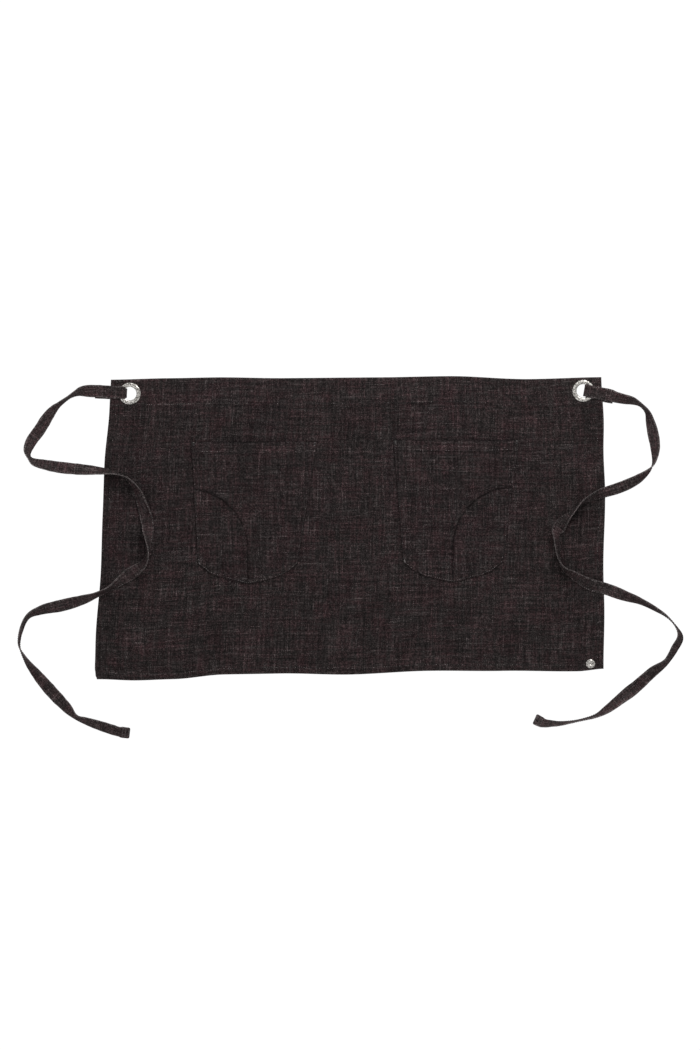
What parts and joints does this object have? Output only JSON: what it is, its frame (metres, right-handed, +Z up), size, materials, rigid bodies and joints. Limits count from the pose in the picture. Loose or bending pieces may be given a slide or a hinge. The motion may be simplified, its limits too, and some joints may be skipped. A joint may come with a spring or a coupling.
{
  "type": "waist apron",
  "caption": "Charcoal cloth waist apron lying flat, with pieced patch pockets, corner eyelets, looped cloth ties and a corner rivet.",
  "frame": {"origin": "centre of the panel on the surface that the apron lies on", "axes": "+X to the right of the face, +Y towards the waist edge, +Z up out of the face"},
  "size_m": [1.0101, 0.5522, 0.0215],
  "materials": {
    "cloth": "heathered charcoal slub cotton, maroon and grey yarns, matt",
    "tie_cloth": "the same cloth folded into a flat tie, stitched along its edges",
    "nickel": "nickel plate, slightly worn and mottled"
  },
  "bodies": {
    "root": {"panel": "cloth", "pocket_left": "cloth", "pocket_left_inset": "cloth", "pocket_right": "cloth", "pocket_right_inset": "cloth", "eyelet_left": "nickel", "eyelet_right": "nickel", "rivet": "nickel", "tie_left": "tie_cloth", "tie_right": "tie_cloth"}
  },
  "joints": []
}
